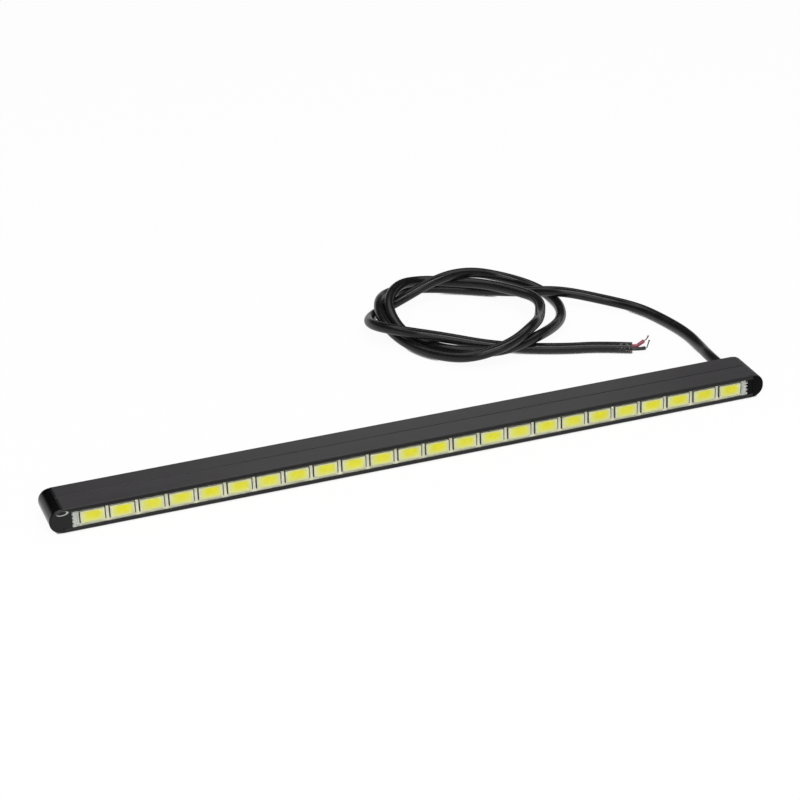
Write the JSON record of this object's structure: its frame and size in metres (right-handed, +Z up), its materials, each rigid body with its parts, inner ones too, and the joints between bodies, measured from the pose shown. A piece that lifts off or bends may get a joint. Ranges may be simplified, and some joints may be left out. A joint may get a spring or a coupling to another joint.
{
  "type": "led light bar",
  "caption": "Slim straight light bar: black aluminium channel with a row of LEDs along its narrow front under clear resin, rounded end caps and a thin two-core cable looped behind it.",
  "frame": {"origin": "middle of the bar's underside, with the cable left out", "axes": "+X along the bar towards the cable's end, -Y the way the diodes face, +Z up from the underside"},
  "size_m": [0.1802, 0.0958, 0.0088],
  "materials": {
    "anodised_aluminium": "black anodised, satin",
    "cap_plastic": "glossy black moulding",
    "board_white": "white solder mask over glass-fibre board",
    "led_frame": "cream white moulded frame",
    "phosphor": "yellow phosphor gel",
    "tinned_metal": "dull tin",
    "chip_black": "black coated ceramic chip",
    "clear_resin": "clear cast resin",
    "bush_rubber": "black rubber",
    "cable_jacket": "semi-matt black PVC jacket",
    "red_insulation": "red PVC insulation",
    "black_insulation": "black PVC insulation",
    "strand_copper": "tinned copper strands"
  },
  "bodies": {
    "root": {"housing_extrusion": "anodised_aluminium", "end_cap_left": "cap_plastic", "end_cap_right": "cap_plastic", "circuit_board": "board_white", "led_phosphor": "phosphor", "led_contacts": "tinned_metal", "dropping_resistors": "chip_black", "clear_resin": "clear_resin", "cable_bush": "bush_rubber", "power_cable": "cable_jacket", "red_wire": "red_insulation", "black_wire": "black_insulation", "red_strands": "strand_copper", "black_strands": "strand_copper", "red_lead_inside": "red_insulation", "black_lead_inside": "black_insulation", "solder_joints": "tinned_metal", "led_01": "led_frame", "led_02": "led_frame", "led_03": "led_frame", "led_04": "led_frame", "led_05": "led_frame", "led_06": "led_frame", "led_07": "led_frame", "led_08": "led_frame", "led_09": "led_frame", "led_10": "led_frame", "led_11": "led_frame", "led_12": "led_frame", "led_13": "led_frame", "led_14": "led_frame", "led_15": "led_frame", "led_16": "led_frame", "led_17": "led_frame", "led_18": "led_frame", "led_19": "led_frame", "led_20": "led_frame", "led_21": "led_frame", "led_22": "led_frame", "led_23": "led_frame", "led_24": "led_frame"}
  },
  "joints": []
}
